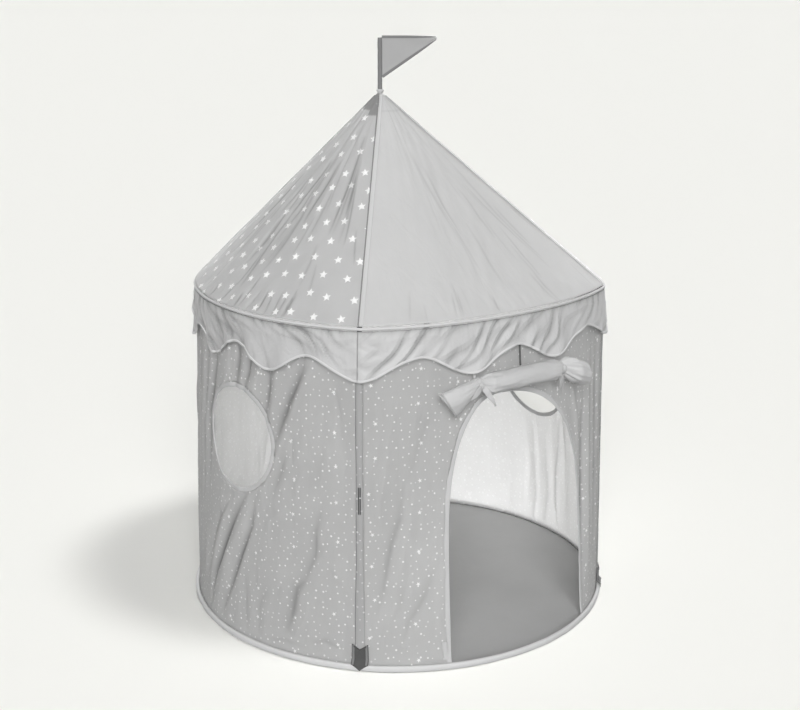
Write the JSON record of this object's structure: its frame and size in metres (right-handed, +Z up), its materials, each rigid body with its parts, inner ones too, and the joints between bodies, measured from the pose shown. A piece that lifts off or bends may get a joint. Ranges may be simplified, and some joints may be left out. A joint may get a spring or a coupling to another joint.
{
  "type": "children's play tent",
  "caption": "Round play tent with a cone roof, scalloped valance, arched doorway with a rolled-up door, round windows, a floor mat, a pennant and folding corner poles",
  "frame": {"origin": "on the floor, on the axis of the round wall", "axes": "+Z up; the doorway faces -Y; +X is to the right as one looks in at the doorway"},
  "size_m": [1.02, 1.02, 1.3317],
  "materials": {
    "wall_cloth": "woven polyester, dotted and starred in white, matt",
    "roof_star_cloth": "woven polyester with small white stars, matt",
    "roof_plain_cloth": "plain woven polyester, matt",
    "satin": "thin satin, lightly creased",
    "binding": "folded woven tape",
    "floor_cloth": "coated woven cloth",
    "pocket_cloth": "dark woven cloth",
    "flag_cloth": "woven cloth with a darker binding",
    "spring_wire": "flat-wound spring steel",
    "fibre_rod": "pultruded glass fibre, pale",
    "black_plastic": "moulded, dark"
  },
  "bodies": {
    "base": {"floor_mat": "floor_cloth", "hem_binding": "binding", "bottom_hoop": "spring_wire", "wall_door": "wall_cloth", "wall_right": "wall_cloth", "wall_back": "wall_cloth", "wall_left": "wall_cloth", "pole_sleeve_front_left": "wall_cloth", "pole_sleeve_front_right": "wall_cloth", "pole_sleeve_back_right": "wall_cloth", "pole_sleeve_back_left": "wall_cloth", "foot_pocket_front_left": "pocket_cloth", "foot_pocket_front_right": "pocket_cloth", "foot_pocket_back_right": "pocket_cloth", "foot_pocket_back_left": "pocket_cloth"},
    "lower_front_left": {"foot_cap_front_left": "black_plastic", "lower_rod_front_left": "fibre_rod", "knee_fork_front_left": "black_plastic"},
    "upper_front_left": {"knee_tongue_front_left": "black_plastic", "upper_rod_front_left": "fibre_rod", "top_eye_front_left": "black_plastic"},
    "lower_front_right": {"foot_cap_front_right": "black_plastic", "lower_rod_front_right": "fibre_rod", "knee_fork_front_right": "black_plastic"},
    "upper_front_right": {"knee_tongue_front_right": "black_plastic", "upper_rod_front_right": "fibre_rod", "top_eye_front_right": "black_plastic"},
    "lower_back_right": {"foot_cap_back_right": "black_plastic", "lower_rod_back_right": "fibre_rod", "knee_fork_back_right": "black_plastic"},
    "upper_back_right": {"knee_tongue_back_right": "black_plastic", "upper_rod_back_right": "fibre_rod", "top_eye_back_right": "black_plastic"},
    "lower_back_left": {"foot_cap_back_left": "black_plastic", "lower_rod_back_left": "fibre_rod", "knee_fork_back_left": "black_plastic"},
    "upper_back_left": {"knee_tongue_back_left": "black_plastic", "upper_rod_back_left": "fibre_rod", "top_eye_back_left": "black_plastic"},
    "top": {"top_hoop": "spring_wire", "top_piping": "binding", "valance": "satin", "apex_hub": "black_plastic", "top_connector_front_left": "black_plastic", "top_connector_front_right": "black_plastic", "top_connector_back_right": "black_plastic", "top_connector_back_left": "black_plastic", "roof_pole_front_left": "fibre_rod", "roof_pole_front_right": "fibre_rod", "roof_pole_back_right": "fibre_rod", "roof_pole_back_left": "fibre_rod", "roof_door": "roof_plain_cloth", "roof_right": "roof_star_cloth", "roof_back": "roof_plain_cloth", "roof_left": "roof_star_cloth", "door_roll": "satin", "door_tie_left": "binding", "door_tie_right": "binding"},
    "flag_stick": {"flag_stick": "fibre_rod"},
    "flag": {"flag": "flag_cloth"}
  },
  "joints": [
    {"name": "foot_front_left", "type": "hinge", "parent": "base", "child": "lower_front_left", "pos_m": [-0.338, -0.338, 0.0083], "axis": [-0.7071, 0.7071, 0], "range_deg": [0, 70], "deforming": ["wall_door", "wall_right", "wall_back", "wall_left", "pole_sleeve_front_left", "pole_sleeve_front_right", "pole_sleeve_back_right", "pole_sleeve_back_left"]},
    {"name": "knee_front_left", "type": "hinge", "parent": "lower_front_left", "child": "upper_front_left", "pos_m": [-0.338, -0.338, 0.38015], "axis": [-0.7071, 0.7071, 0], "range_deg": [-140, 0]},
    {"name": "top_front_left", "type": "hinge", "parent": "upper_front_left", "child": "top", "pos_m": [-0.338, -0.338, 0.752], "axis": [-0.7071, 0.7071, 0], "range_deg": [0, 70]},
    {"name": "foot_front_right", "type": "hinge", "parent": "base", "child": "lower_front_right", "pos_m": [0.338, -0.338, 0.0083], "axis": [-0.7071, -0.7071, 0], "range_deg": [0, 70]},
    {"name": "knee_front_right", "type": "hinge", "parent": "lower_front_right", "child": "upper_front_right", "pos_m": [0.338, -0.338, 0.38015], "axis": [-0.7071, -0.7071, 0], "range_deg": [-140, 0]},
    {"name": "foot_back_right", "type": "hinge", "parent": "base", "child": "lower_back_right", "pos_m": [0.338, 0.338, 0.0083], "axis": [0.7071, -0.7071, 0], "range_deg": [0, 70]},
    {"name": "knee_back_right", "type": "hinge", "parent": "lower_back_right", "child": "upper_back_right", "pos_m": [0.338, 0.338, 0.38015], "axis": [0.7071, -0.7071, 0], "range_deg": [-140, 0]},
    {"name": "foot_back_left", "type": "hinge", "parent": "base", "child": "lower_back_left", "pos_m": [-0.338, 0.338, 0.0083], "axis": [0.7071, 0.7071, 0], "range_deg": [0, 70]},
    {"name": "knee_back_left", "type": "hinge", "parent": "lower_back_left", "child": "upper_back_left", "pos_m": [-0.338, 0.338, 0.38015], "axis": [0.7071, 0.7071, 0], "range_deg": [-140, 0]},
    {"name": "stick_lift", "type": "slide", "parent": "top", "child": "flag_stick", "axis": [0, 0, 1], "range_m": [0, 0.017]},
    {"name": "flag_turn", "type": "hinge", "parent": "flag_stick", "child": "flag", "pos_m": [-0.0335, 0.0239, 1.268], "axis": [0, 0, 1], "continuous": true}
  ],
  "couplings": [
    {"joint": "knee_front_left", "follows": "foot_front_left", "ratio": -2},
    {"joint": "top_front_left", "follows": "foot_front_left", "ratio": 1},
    {"joint": "foot_front_right", "follows": "foot_front_left", "ratio": 1},
    {"joint": "knee_front_right", "follows": "foot_front_left", "ratio": -2},
    {"joint": "foot_back_right", "follows": "foot_front_left", "ratio": 1},
    {"joint": "knee_back_right", "follows": "foot_front_left", "ratio": -2},
    {"joint": "foot_back_left", "follows": "foot_front_left", "ratio": 1},
    {"joint": "knee_back_left", "follows": "foot_front_left", "ratio": -2}
  ]
}
